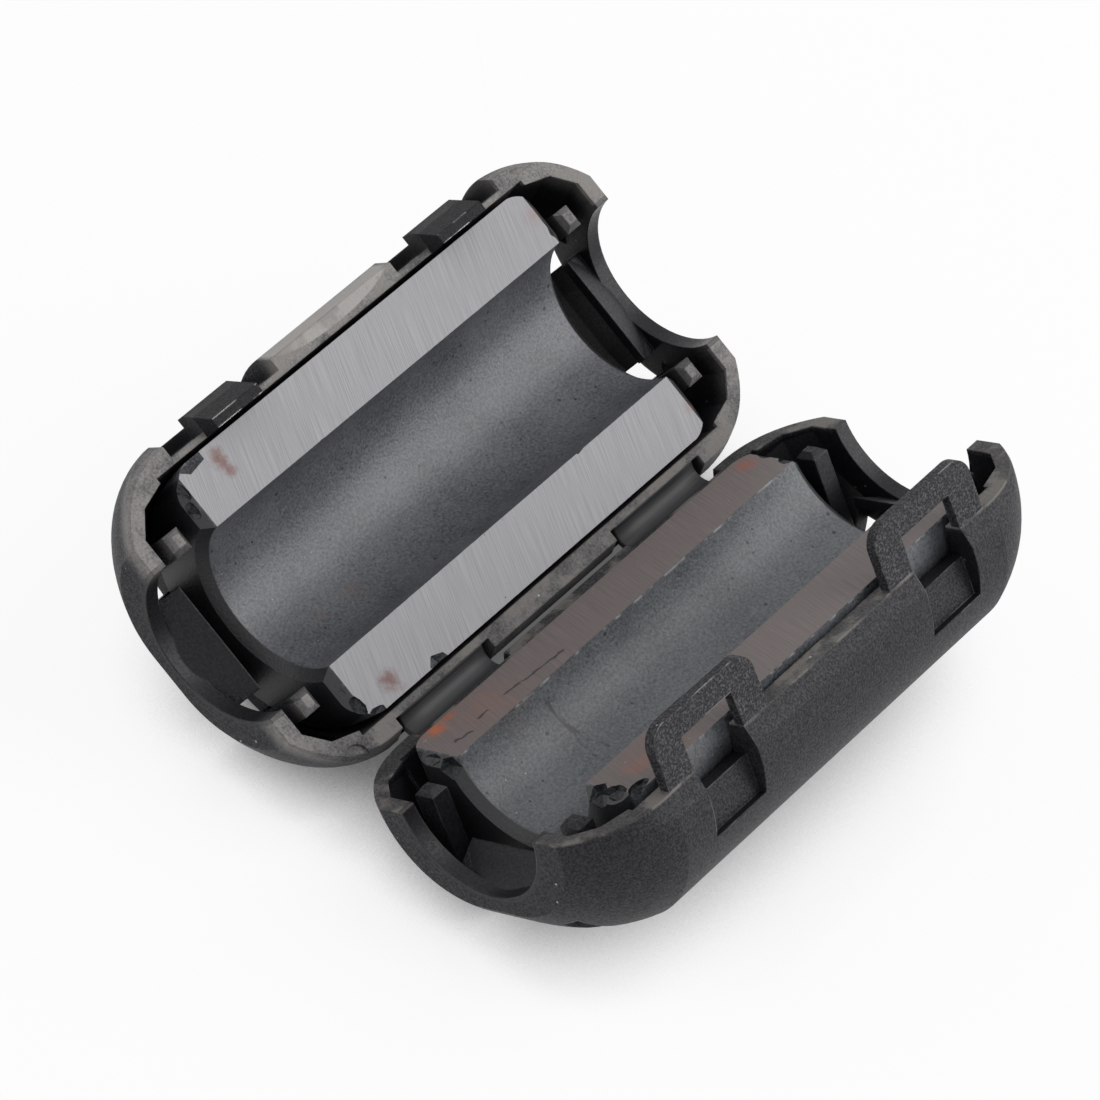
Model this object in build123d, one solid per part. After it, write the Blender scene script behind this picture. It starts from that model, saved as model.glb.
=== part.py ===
"""Clip-on ferrite bead, lying open: two half cases on a living hinge, each holding half a ferrite sleeve.

Each half is drawn lying flat: X along the bead, +Y towards the latch, Z up out of the mating plane of the
two core halves, which is Z = 0. Both are then tipped about the hinge line into the open V and set on Z = 0.
"""
import math
import os

from build123d import *

# Ferrite core halves, in millimetres
core_length = 28.2
core_outer_radius = 8.04
core_bore_radius = 4.53
core_grind = 0.41
core_corner_share = 0.484
core_mouth_bevel = 0.5
core_end_bevel = 0.55
core_gap = 0.3
core_end_gap = 0.25

# Case round the core; the angles are in degrees
case_side_wall = 1.41
case_floor = 0.97
case_side_height = 1.5
case_wall = 0.95
chamber_flats = 3
rim_drop = 0.35
rim_lean_angle = 20.0
open_angle = 119.5
chamber_length = 2.75
end_wall = 0.9
taper_length = 5.0
end_face_side = 1.62
end_face_floor = 0.92
end_face_side_height = 0.55

# Cable mouth, grip tongue, drain slots and core posts at each end of a half
mouth_clearance = 0.1
tongue_width = 6.6
tongue_thickness = 0.7
tongue_reach = 1.6
tongue_rise = 1.35
tongue_drop = 0.12
slot_width = 1.2
slot_length = 3.6
post_across = 1.3
post_along = 1.1
post_beside = 0.52
post_standoff = 0.55
post_drop = 0.25
post_bevel = 0.3

# Snap latch: two catches on the base, two loops on the cover
latch_spacing_share = 0.624
loop_width = 7.7
loop_height = 3.1
loop_thickness = 0.6
loop_corner_radius = 1.2
window_width = 3.9
window_top = 1.7
window_sill = 2.1
pocket_bottom = 4.4
latch_clearance = 0.1
loop_end_clearance = 0.8
loop_side_clearance = 0.25
catch_top = 1.1
catch_ridge = 0.55
catch_reach = 0.15
catch_nose = 0.55

# Living hinge: two straps in recesses of the back wall
hinge_inset = 0.3
hinge_lip = 0.42
strap_width = 6.5
strap_spacing_share = 0.61
strap_thickness = 0.45
strap_top_drop = 0.12
strap_sag = 0.75
strap_end_gap = 0.02
strap_side_clearance = 0.4
hinge_recess_depth = 2.4

# One overrun for every cut
overrun = 1.0

# Ejector mark on the base's rim
mark_radius = 0.75
mark_depth = 0.12
mark_from_end = 2.6
mark_from_back = 0.7

# Shares of the end taper: how far along it each section sits, and how far width and depth have come in there
taper_place_shares = (0.0, 0.6, 1.0)
taper_width_shares = (0.0, 0.32, 1.0)
taper_depth_shares = (0.0, 0.43, 1.0)

# Sizes worked out from the ones above
cavity_radius = core_outer_radius + core_gap
cavity_half_length = core_length / 2 + core_end_gap
cavity_edge = math.sqrt(cavity_radius ** 2 - core_grind ** 2)
half_length = cavity_half_length + chamber_length + end_wall
half_width = cavity_radius + case_side_wall
case_half_depth = cavity_radius - core_grind + case_floor
case_corner_radius = case_half_depth - case_side_height
mouth_radius = core_bore_radius + mouth_clearance
end_half_width = mouth_radius + end_face_side
end_depth = mouth_radius + end_face_floor
end_corner_radius = end_depth - end_face_side_height
tongue_root_depth = mouth_radius + tongue_drop
post_offset = mouth_radius + post_beside
taper_start = half_length - taper_length
tilt = (180.0 - open_angle) / 2
latch_spacing = latch_spacing_share * core_length
strap_spacing = strap_spacing_share * core_length
core_corner_radius = core_corner_share * (core_outer_radius - core_bore_radius)
hinge_offset = half_width - hinge_inset
rim_lean = math.tan(math.radians(rim_lean_angle))
rim_edge = half_width - rim_lean * (case_side_height - rim_drop)
loop_outer = rim_edge
loop_inner = loop_outer - loop_thickness
latch_face = loop_inner - latch_clearance
catch_width = window_width - 2 * loop_side_clearance
strap_face = cavity_edge + hinge_lip
hinge_height = (
    case_corner_radius
    + case_side_height * math.cos(math.radians(tilt))
    - (hinge_offset - half_width + case_corner_radius) * math.sin(math.radians(tilt))
)


def half_section(x, width, depth, radius, top):
    """Section of a half case at x: sides that lean in to the rim, rounded lower corners, flat bottom."""
    flat = width - radius
    straight = depth - radius
    edge = width - rim_lean * (straight + top)
    bend = radius * math.sqrt(0.5)
    with BuildSketch(Plane.YZ.offset(x)) as sketch:
        with BuildLine():
            Line((-edge, top), (-width, -straight))
            ThreePointArc((-width, -straight), (-flat - bend, -straight - bend), (-flat, -depth))
            Line((-flat, -depth), (flat, -depth))
            ThreePointArc((flat, -depth), (flat + bend, -straight - bend), (width, -straight))
            Line((width, -straight), (edge, top))
            Line((edge, top), (-edge, top))
        make_face()
    return sketch.sketch.face()


def taper_at(x, shares):
    """How far the end taper has drawn in at x, read off the given shares."""
    along = max(0.0, (abs(x) - taper_start) / taper_length)
    for step in range(1, len(taper_place_shares)):
        if along <= taper_place_shares[step] or step == len(taper_place_shares) - 1:
            span = taper_place_shares[step] - taper_place_shares[step - 1]
            part = (along - taper_place_shares[step - 1]) / span
            return shares[step - 1] + part * (shares[step] - shares[step - 1])
    return 0.0


def case_sizes(x):
    """Half width, depth and corner radius of the case at x."""
    narrowing = taper_at(x, taper_width_shares)
    shallowing = taper_at(x, taper_depth_shares)
    width = half_width + narrowing * (end_half_width - half_width)
    depth = case_half_depth + shallowing * (end_depth - case_half_depth)
    radius = case_corner_radius + narrowing * (end_corner_radius - case_corner_radius)
    return width, depth, radius


def case_section(x):
    """Outside of the case at x, up to the rim."""
    width, depth, radius = case_sizes(x)
    return half_section(x, width, depth, radius, -rim_drop)


def chamber_section(x):
    """Inside of an end chamber at x: the case drawn in by its wall, the lower corners in flats."""
    width, depth, radius = (size - case_wall for size in case_sizes(x))
    straight = depth - radius
    outline = [(width - rim_lean * (straight + overrun), overrun), (width, -straight)]
    for turn in range(1, chamber_flats + 1):
        angle = math.radians(90.0 * turn / chamber_flats)
        outline.append((width - radius + radius * math.cos(angle), -straight - radius * math.sin(angle)))
    outline += [(-y, z) for y, z in reversed(outline)]
    with BuildSketch(Plane.YZ.offset(x)) as sketch:
        with BuildLine():
            Polyline(*outline, close=True)
        make_face()
    return sketch.sketch.face()


def block(x, y, z):
    """Box from three (low, high) pairs."""
    size = Box(x[1] - x[0], y[1] - y[0], z[1] - z[0])
    return Pos((x[0] + x[1]) / 2, (y[0] + y[1]) / 2, (z[0] + z[1]) / 2) * size


def prism_along_x(points, middle, width):
    """Outline in Y and Z, drawn out along X about the given middle."""
    with BuildSketch(Plane.YZ.offset(middle - width / 2)) as sketch:
        with BuildLine():
            Polyline(*points, close=True)
        make_face()
    return extrude(sketch.sketch, amount=width)


# Half case without latch or hinge: body, tapered ends, core pocket, end chambers and cable mouths
rim = -rim_drop
places = [taper_start + share * taper_length for share in taper_place_shares]
outside = extrude(case_section(-taper_start), amount=2 * taper_start)
for side in (-1, 1):
    outside += loft([case_section(side * place) for place in places])
half_case = outside
pocket = Rot(Y=90) * Cylinder(cavity_radius, 2 * cavity_half_length)
half_case -= Pos(Z=core_grind) * pocket
chamber_end = half_length - end_wall
chamber_places = (cavity_half_length - core_end_gap, places[-2], chamber_end)
for side in (-1, 1):
    chamber = loft([chamber_section(side * place) for place in chamber_places], ruled=True)
    half_case -= chamber
    mouth = Rot(Y=90) * Cylinder(mouth_radius, end_wall + 2 * overrun)
    half_case -= Pos(X=side * (half_length - end_wall / 2)) * mouth

# Drain slots through the floor beside each grip tongue
slot_near = chamber_end
for side in (-1, 1):
    for hand in (-1, 1):
        slot_x = sorted((side * slot_near, side * (slot_near - slot_length)))
        slot_y = sorted((hand * tongue_width / 2, hand * (tongue_width / 2 + slot_width)))
        half_case -= block(slot_x, slot_y, (-case_half_depth - overrun, -tongue_root_depth))

# Grip tongues that spring up from the end walls against the cable, and posts that keep the core from sliding
for side in (-1, 1):
    root = side * (chamber_end + end_wall / 2)
    tip = side * (chamber_end - tongue_reach)
    with BuildSketch(Plane.XZ.offset(-tongue_width / 2)) as tongue_side:
        with BuildLine():
            Polyline(
                (root, -tongue_root_depth),
                (tip, -tongue_root_depth + tongue_rise),
                (tip, -tongue_root_depth + tongue_rise - tongue_thickness),
                (root, -tongue_root_depth - tongue_thickness),
                close=True,
            )
        make_face()
    half_case += extrude(tongue_side.sketch, amount=tongue_width)
    for hand in (-1, 1):
        middle = cavity_half_length + post_standoff + post_along / 2
        foot = case_half_depth - case_wall
        post = Box(post_along, post_across, foot - rim_drop - post_drop)
        post = chamfer(post.faces().sort_by(Axis.Z)[-1].edges(), post_bevel)
        post = Pos(side * middle, hand * post_offset, -(foot + rim_drop + post_drop) / 2) * post
        half_case += post & outside

# Recesses in the back wall for the hinge straps
recess_width = strap_width + 2 * strap_side_clearance
for side in (-1, 1):
    recess_x = (side * strap_spacing / 2 - recess_width / 2, side * strap_spacing / 2 + recess_width / 2)
    half_case -= block(recess_x, (-half_width - overrun, -strap_face), (-hinge_recess_depth, overrun))

# Base: loop recesses and catches on the latch side
base_case = half_case
latch_places = (-latch_spacing / 2, latch_spacing / 2)
for place in latch_places:
    reach = loop_width / 2 + loop_side_clearance
    base_case -= block(
        (place - reach, place + reach),
        (latch_face, half_width + overrun),
        (-loop_height - loop_end_clearance, overrun),
    )
catch_lock = -window_top + latch_clearance
catch_outline = [
    (cavity_edge, catch_lock),
    (cavity_edge, catch_top),
    (cavity_edge + catch_ridge, catch_top),
    (half_width + catch_reach, catch_lock + catch_nose),
    (half_width + catch_reach, catch_lock),
]
for place in latch_places:
    base_case += prism_along_x(catch_outline, place, catch_width)
mark = Cylinder(mark_radius, 2 * mark_depth)
base_case -= Pos(mark_from_end - half_length, mark_from_back - half_width, rim) * mark

# Cover: latch loops, their windows and the pockets that take the catches
cover_case = half_case
for place in latch_places:
    loop_x = (place - loop_width / 2, place + loop_width / 2)
    loop = block(loop_x, (loop_inner, loop_outer), (-window_sill, loop_height))
    corners = loop.edges().filter_by(Axis.Y).group_by(Axis.Z)[-1]
    cover_case += fillet(corners, loop_corner_radius)
for place in latch_places:
    window_x = (place - window_width / 2, place + window_width / 2)
    cover_case -= block(window_x, (cavity_edge - overrun, half_width + overrun), (-window_sill, window_top))
    cover_case -= block(window_x, (loop_inner, half_width + overrun), (-pocket_bottom, -window_sill))

# Ferrite core half: ground flat on the mating face, corners rounded in plan, mouths and end edges bevelled
sleeve = Cylinder(core_outer_radius, core_length) - Cylinder(core_bore_radius, core_length + overrun)
core = Pos(Z=core_grind) * Rot(Y=90) * sleeve
with BuildSketch(Plane.XZ.offset(-core_outer_radius - overrun)) as core_side:
    with BuildLine():
        Polyline(
            (-core_length / 2, -core_outer_radius - overrun),
            (core_length / 2, -core_outer_radius - overrun),
            (core_length / 2, -core_end_bevel),
            (core_length / 2 - core_end_bevel, 0.0),
            (core_end_bevel - core_length / 2, 0.0),
            (-core_length / 2, -core_end_bevel),
            close=True,
        )
    make_face()
core &= extrude(core_side.sketch, amount=2 * (core_outer_radius + overrun))
with BuildSketch() as plan:
    RectangleRounded(core_length, 2 * core_outer_radius, core_corner_radius)
core &= extrude(plan.sketch, amount=-core_outer_radius - overrun)
mouth_edges = [
    edge for edge in core.edges().filter_by(GeomType.CIRCLE)
    if abs(edge.radius - core_bore_radius) < core_mouth_bevel / 2
    and abs(abs(edge.center().X) - core_length / 2) < core_mouth_bevel / 2
]
core = chamfer(mouth_edges, core_mouth_bevel)

# Hinge straps, drawn in the open V between the two recess faces
lean = math.radians(tilt)


def in_the_open(y, z):
    """A point of the base's section, tipped into the open V."""
    return (
        (y + hinge_offset) * math.cos(lean) - z * math.sin(lean),
        (y + hinge_offset) * math.sin(lean) + z * math.cos(lean) + hinge_height,
    )


strap_root = -strap_face - strap_end_gap
top_root = in_the_open(strap_root, rim - strap_top_drop)
low_root = in_the_open(strap_root, rim - strap_top_drop - strap_thickness)
top_middle = (0.0, hinge_height - strap_sag)
low_middle = (0.0, hinge_height - strap_sag - strap_thickness)
straps = []
for side in (-1, 1):
    with BuildSketch(Plane.YZ.offset(side * strap_spacing / 2 - strap_width / 2)) as strap_section:
        with BuildLine():
            ThreePointArc(top_root, top_middle, (-top_root[0], top_root[1]))
            Line((-top_root[0], top_root[1]), (-low_root[0], low_root[1]))
            ThreePointArc((-low_root[0], low_root[1]), low_middle, low_root)
            Line(low_root, top_root)
        make_face()
    straps.append(extrude(strap_section.sketch, amount=strap_width))

# Tip both halves into the open V, hinge line along X over the origin
open_base = Pos(Z=hinge_height) * Rot(X=tilt) * Pos(Y=hinge_offset)
open_cover = Pos(Z=hinge_height) * Rot(X=-tilt) * Pos(Y=-hinge_offset)
nodes = {
    "base_shell": open_base * base_case,
    "cover_shell": open_cover * mirror(cover_case, about=Plane.XZ),
    "base_core": open_base * core,
    "cover_core": open_cover * core,
    "near_hinge_strap": straps[0],
    "far_hinge_strap": straps[1],
}

os.makedirs("parts", exist_ok=True)
for name, shape in nodes.items():
    export_step(shape, "parts/" + name + ".step")
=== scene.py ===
"""Clip-on ferrite bead, open: two black half cases on a living hinge, each with half a ferrite sleeve."""
import math

import bmesh
import bpy
from mathutils import Matrix, Vector, noise


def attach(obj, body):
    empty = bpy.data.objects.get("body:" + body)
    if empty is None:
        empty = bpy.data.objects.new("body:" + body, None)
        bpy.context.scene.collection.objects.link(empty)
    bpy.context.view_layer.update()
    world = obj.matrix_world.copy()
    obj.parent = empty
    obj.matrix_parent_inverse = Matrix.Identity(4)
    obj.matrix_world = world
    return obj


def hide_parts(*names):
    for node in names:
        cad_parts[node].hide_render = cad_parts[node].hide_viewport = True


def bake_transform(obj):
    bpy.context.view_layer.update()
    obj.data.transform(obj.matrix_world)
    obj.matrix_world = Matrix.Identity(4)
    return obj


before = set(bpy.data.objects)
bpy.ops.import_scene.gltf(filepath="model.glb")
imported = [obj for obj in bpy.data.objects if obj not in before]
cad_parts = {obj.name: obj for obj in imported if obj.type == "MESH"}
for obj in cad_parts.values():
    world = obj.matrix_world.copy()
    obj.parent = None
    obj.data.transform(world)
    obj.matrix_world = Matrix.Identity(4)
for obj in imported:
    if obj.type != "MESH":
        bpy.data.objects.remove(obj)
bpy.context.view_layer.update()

# Half cases
# Two injection mouldings of black polyamide, drawn in at both ends. The mould was spark-eroded, so the skin
# has a fine even grit and a soft sheen. The rims are paler, partly wear from handling and partly painted
# sheen.
MM = 0.001
half_tilt = math.radians(30.25)
hinge_height = 5.119
hinge_offset = 9.45
rim_level = -0.35
rim_margin = 0.05
lip_foot = 0.14
lip_top = 0.04
hinge_side_from = -8.6
hinge_side_to = -6.0
pad_half_length = 4.6
pad_half_width = 1.0
pad_place = 9.6
inside_depth = 0.27
inside_turn = 0.3
channel_radius = 4.9
catch_place = 8.798
catch_width = 3.44
catch_root = 8.2
catch_lock = -1.62
grit_width = 0.13
grit_height = 0.05
cloud_width = 2.5
dust_spacing = 0.9
edge_round = 0.12
polyamide_ior = 1.53


def linear(hex_colour):
    """sRGB hex colour as linear RGBA."""
    channels = [int(hex_colour[place:place + 2], 16) / 255 for place in (1, 3, 5)]
    return [c / 12.92 if c <= 0.04045 else ((c + 0.055) / 1.055) ** 2.4 for c in channels] + [1.0]


def add_node(tree, kind, settings, inputs):
    """One node with its settings, its constants and its links."""
    node = tree.nodes.new(kind)
    for name, value in settings.items():
        setattr(node, name, value)
    for key, value in inputs.items():
        if isinstance(value, bpy.types.NodeSocket):
            tree.links.new(value, node.inputs[key])
        else:
            node.inputs[key].default_value = value
    return node


def finish_surface(name, pieces, place=0):
    """A new material in this place on these pieces, with its tree and its shader."""
    material = bpy.data.materials.new(name)
    material.use_nodes = True
    for piece in pieces:
        while len(piece.data.materials) <= place:
            piece.data.materials.append(None)
        piece.data.materials[place] = material
    return material.node_tree, material.node_tree.nodes["Principled BSDF"]


def to_part(hand, point):
    """A point of a half's own frame, in millimetres, as a point of the part in metres."""
    turn = Matrix.Rotation(hand * half_tilt, 3, "X")
    return (turn @ (Vector(point) + Vector((0, hand * hinge_offset, 0))) + Vector((0, 0, hinge_height))) * MM


def half_millimetres(tree, hand):
    """Place in a half's own frame in millimetres, and the coordinates that it is worked out from.

    Height is 0 at the mating plane; hand 1 is the base, -1 the cover.
    """
    turn = Matrix.Rotation(-hand * half_tilt, 3, "X")
    place = turn @ Vector((0, 0, -hinge_height)) + Vector((0, -hand * hinge_offset, 0))
    coords = add_node(tree, "ShaderNodeTexCoord", {}, {})
    mapped = add_node(tree, "ShaderNodeMapping", {}, {
        "Vector": coords.outputs["Object"],
        "Location": place,
        "Rotation": (-hand * half_tilt, 0, 0),
        "Scale": (1 / MM, 1 / MM, 1 / MM),
    })
    return mapped.outputs["Vector"], coords


# Spark-eroded black polyamide: grit that breaks up the sheen, cloudy tone, dust caught in it, paler towards
# the rim and along its edge (partly wear, partly painted sheen and highlight), painted shade on what faces
# inwards, and painted highlights on the latch's ridges. The real grit, about 0.04 mm wide, is drawn coarser
# so that it shows.
def spark_eroded_polyamide(name, piece, hand, rim_depth, rim_wear_and_sheen_share, rim_wear_and_sheen_colour, pad_sheen_share, latch):
    tree, shader = finish_surface(name, [piece])
    place, coords = half_millimetres(tree, hand)
    grit = add_node(tree, "ShaderNodeTexNoise", {}, {
        "Vector": place,
        "Scale": 1 / grit_width,
        "Detail": 2.0,
        "Roughness": 0.6,
    })
    cloud = add_node(tree, "ShaderNodeTexNoise", {}, {
        "Vector": place,
        "Scale": 1 / cloud_width,
        "Detail": 4.0,
        "Roughness": 0.6,
    })
    tone = add_node(tree, "ShaderNodeValToRGB", {}, {"Fac": grit.outputs["Fac"]})
    tone.color_ramp.elements[0].position = 0.36
    tone.color_ramp.elements[0].color = linear("#0b0b0e")
    tone.color_ramp.elements[1].position = 0.74
    tone.color_ramp.elements[1].color = linear("#39393e")
    height = add_node(tree, "ShaderNodeSeparateXYZ", {}, {"Vector": place})
    # Paler towards the rim: partly wear from handling, partly painted sheen
    rim_wear_and_sheen = add_node(tree, "ShaderNodeMapRange", {"interpolation_type": "SMOOTHSTEP"}, {
        "Value": height.outputs["Z"],
        "From Min": rim_level - rim_depth,
        "From Max": rim_level,
        "To Max": rim_wear_and_sheen_share,
    })
    below_rim = add_node(tree, "ShaderNodeMath", {"operation": "LESS_THAN"}, {
        0: height.outputs["Z"],
        1: rim_level + rim_margin,
    })
    rim_wear_and_sheen = add_node(tree, "ShaderNodeMath", {"operation": "MULTIPLY"}, {
        0: rim_wear_and_sheen.outputs["Result"],
        1: below_rim.outputs["Value"],
    })
    # The pale rim, wear and painted sheen alike, fades to half towards the hinge side
    latchward = add_node(tree, "ShaderNodeMath", {"operation": "MULTIPLY"}, {
        0: height.outputs["Y"],
        1: hand,
    })
    hinge_side_fade = add_node(tree, "ShaderNodeMapRange", {}, {
        "Value": latchward.outputs["Value"],
        "From Min": hinge_side_from,
        "From Max": hinge_side_to,
        "To Min": 0.5,
    })
    rim_wear_and_sheen = add_node(tree, "ShaderNodeMath", {"operation": "MULTIPLY"}, {
        0: rim_wear_and_sheen.outputs["Value"],
        1: hinge_side_fade.outputs["Result"],
    })
    broken = add_node(tree, "ShaderNodeMath", {"operation": "MULTIPLY_ADD"}, {
        0: grit.outputs["Fac"],
        1: 0.4,
        2: cloud.outputs["Fac"],
    })
    patchy = add_node(tree, "ShaderNodeMapRange", {}, {
        "Value": broken.outputs["Value"],
        "From Min": 0.5,
        "From Max": 0.8,
        "To Min": 0.25,
    })
    patchy_wear_and_sheen_share = add_node(tree, "ShaderNodeMath", {"operation": "MULTIPLY"}, {
        0: rim_wear_and_sheen.outputs["Value"],
        1: patchy.outputs["Result"],
    })
    wear_and_sheen = add_node(tree, "ShaderNodeMix", {"data_type": "RGBA"}, {
        "Factor": patchy_wear_and_sheen_share.outputs["Value"],
        "A": tone.outputs["Color"],
        "B": linear(rim_wear_and_sheen_colour),
    })
    # The pad between the two catches is palest, mostly a painted sheen on its leaning face
    sideways = add_node(tree, "ShaderNodeVectorMath", {"operation": "MULTIPLY_ADD"}, {
        0: place,
        1: (1 / pad_half_length, hand / pad_half_width, 0),
        2: (0, -pad_place / pad_half_width, 0),
    })
    pad_away = add_node(tree, "ShaderNodeVectorMath", {"operation": "LENGTH"}, {
        0: sideways.outputs["Vector"],
    })
    pad = add_node(tree, "ShaderNodeMapRange", {}, {
        "Value": pad_away.outputs["Value"],
        "From Min": 0.95,
        "From Max": 1.0,
        "To Min": pad_sheen_share,
        "To Max": 0.0,
    })
    frayed = add_node(tree, "ShaderNodeMath", {"operation": "MULTIPLY_ADD"}, {
        0: broken.outputs["Value"],
        1: 2.0,
        2: height.outputs["Z"],
    })
    leaning = add_node(tree, "ShaderNodeMapRange", {"interpolation_type": "SMOOTHSTEP"}, {
        "Value": frayed.outputs["Value"],
        "From Min": -0.9,
        "From Max": 0.05,
    })
    pad = add_node(tree, "ShaderNodeMath", {"operation": "MULTIPLY"}, {
        0: pad.outputs["Result"],
        1: leaning.outputs["Result"],
    })
    wear_and_sheen = add_node(tree, "ShaderNodeMix", {"data_type": "RGBA"}, {
        "Factor": pad.outputs["Value"],
        "A": wear_and_sheen.outputs["Result"],
        "B": linear("#a19d9b"),
    })
    # The lip along the rim's edge is pale in places, partly nicks and partly a painted highlight along the
    # edge
    lip = add_node(tree, "ShaderNodeMapRange", {}, {
        "Value": height.outputs["Z"],
        "From Min": rim_level - lip_foot,
        "From Max": rim_level - lip_top,
    })
    nicks_and_glints_here = add_node(tree, "ShaderNodeMapRange", {}, {
        "Value": cloud.outputs["Fac"],
        "From Min": 0.5,
        "From Max": 0.58,
        "To Max": 0.6,
    })
    lip_nick_and_highlight_share = add_node(tree, "ShaderNodeMath", {"operation": "MULTIPLY"}, {
        0: lip.outputs["Result"],
        1: nicks_and_glints_here.outputs["Result"],
    })
    lip_nick_and_highlight_share = add_node(tree, "ShaderNodeMath", {"operation": "MULTIPLY"}, {
        0: lip_nick_and_highlight_share.outputs["Value"],
        1: below_rim.outputs["Value"],
    })
    lip_nicked_and_lit = add_node(tree, "ShaderNodeMix", {"data_type": "RGBA"}, {
        "Factor": lip_nick_and_highlight_share.outputs["Value"],
        "A": wear_and_sheen.outputs["Result"],
        "B": linear("#77736f"),
    })
    # A few pale specks of dust sit in the grit
    specks = add_node(tree, "ShaderNodeTexVoronoi", {}, {"Vector": place, "Scale": 1 / dust_spacing})
    rare = add_node(tree, "ShaderNodeSeparateColor", {}, {"Color": specks.outputs["Color"]})
    small = add_node(tree, "ShaderNodeMath", {"operation": "LESS_THAN"}, {
        0: specks.outputs["Distance"],
        1: 0.08,
    })
    few = add_node(tree, "ShaderNodeMath", {"operation": "GREATER_THAN"}, {
        0: rare.outputs["Red"],
        1: 0.92,
    })
    dust = add_node(tree, "ShaderNodeMath", {"operation": "MULTIPLY"}, {
        0: small.outputs["Value"],
        1: few.outputs["Value"],
    })
    dust_and_glints = add_node(tree, "ShaderNodeMix", {"data_type": "RGBA"}, {
        "Factor": dust.outputs["Value"],
        "A": lip_nicked_and_lit.outputs["Result"],
        "B": linear("#a09e9a"),
    })
    # The moulding core was polished, so what faces inwards below the rim is smoother; its darker colour is
    # painted shade
    from_middle = add_node(tree, "ShaderNodeVectorMath", {"operation": "SUBTRACT"}, {
        0: coords.outputs["Object"],
        1: to_part(hand, (0, 0, 0)),
    })
    outward = add_node(tree, "ShaderNodeVectorMath", {"operation": "DOT_PRODUCT"}, {
        0: coords.outputs["Normal"],
        1: from_middle.outputs["Vector"],
    })
    inward = add_node(tree, "ShaderNodeMath", {"operation": "LESS_THAN"}, {
        0: outward.outputs["Value"],
        1: -inside_turn * MM,
    })
    sunk = add_node(tree, "ShaderNodeMath", {"operation": "LESS_THAN"}, {
        0: height.outputs["Z"],
        1: rim_level - inside_depth,
    })
    inside = add_node(tree, "ShaderNodeMath", {"operation": "MULTIPLY"}, {
        0: inward.outputs["Value"],
        1: sunk.outputs["Value"],
    })
    # The grip tongues and the cable mouths, which lie within the cable's channel, are smoother and painted
    # darker too
    crosswise = add_node(tree, "ShaderNodeVectorMath", {"operation": "MULTIPLY"}, {0: place, 1: (0, 1, 1)})
    from_axis = add_node(tree, "ShaderNodeVectorMath", {"operation": "LENGTH"}, {
        0: crosswise.outputs["Vector"],
    })
    channel = add_node(tree, "ShaderNodeMath", {"operation": "LESS_THAN"}, {
        0: from_axis.outputs["Value"],
        1: channel_radius,
    })
    inside = add_node(tree, "ShaderNodeMath", {"operation": "MAXIMUM"}, {
        0: inside.outputs["Value"],
        1: channel.outputs["Value"],
    })
    inner_shade_and_black_catch_share = add_node(tree, "ShaderNodeMath", {"operation": "MULTIPLY"}, {
        0: inside.outputs["Value"],
        1: 0.6,
    })
    # The catches stay matt black over their whole length; the loops keep the grit with its tops rubbed pale
    latch_here = add_node(tree, "ShaderNodeMath", {"operation": "SUBTRACT"}, {
        0: 1.0,
        1: below_rim.outputs["Value"],
    })
    from_mid_length = add_node(tree, "ShaderNodeMath", {"operation": "ABSOLUTE"}, {0: height.outputs["X"]})
    catch_length = add_node(tree, "ShaderNodeMath", {"operation": "COMPARE"}, {
        0: from_mid_length.outputs["Value"],
        1: catch_place,
        2: catch_width / 2,
    })
    latch_side = add_node(tree, "ShaderNodeMath", {"operation": "GREATER_THAN"}, {
        0: latchward.outputs["Value"],
        1: catch_root,
    })
    matt_catch = add_node(tree, "ShaderNodeMath", {"operation": "MULTIPLY"}, {
        0: catch_length.outputs["Value"],
        1: latch_side.outputs["Value"],
    })
    above_lock = add_node(tree, "ShaderNodeMath", {"operation": "GREATER_THAN"}, {
        0: height.outputs["Z"],
        1: catch_lock,
    })
    matt_catch = add_node(tree, "ShaderNodeMath", {"operation": "MULTIPLY"}, {
        0: matt_catch.outputs["Value"],
        1: above_lock.outputs["Value"],
    })
    matt_catch = add_node(tree, "ShaderNodeMath", {"operation": "MULTIPLY"}, {
        0: matt_catch.outputs["Value"],
        1: latch["matt_black"],
    })
    inner_shade_and_black_catch_share = add_node(tree, "ShaderNodeMath", {"operation": "MAXIMUM"}, {
        0: inner_shade_and_black_catch_share.outputs["Value"],
        1: matt_catch.outputs["Value"],
    })
    rubbed_tops = add_node(tree, "ShaderNodeMapRange", {}, {
        "Value": grit.outputs["Fac"],
        "From Min": 0.5,
        "From Max": 0.72,
        "To Max": latch["rubbed_tops"],
    })
    rubbed_tops = add_node(tree, "ShaderNodeMath", {"operation": "MULTIPLY"}, {
        0: rubbed_tops.outputs["Result"],
        1: latch_here.outputs["Value"],
    })
    dust_and_glints = add_node(tree, "ShaderNodeMix", {"data_type": "RGBA"}, {
        "Factor": rubbed_tops.outputs["Value"],
        "A": dust_and_glints.outputs["Result"],
        "B": linear("#8d8b89"),
    })
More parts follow.
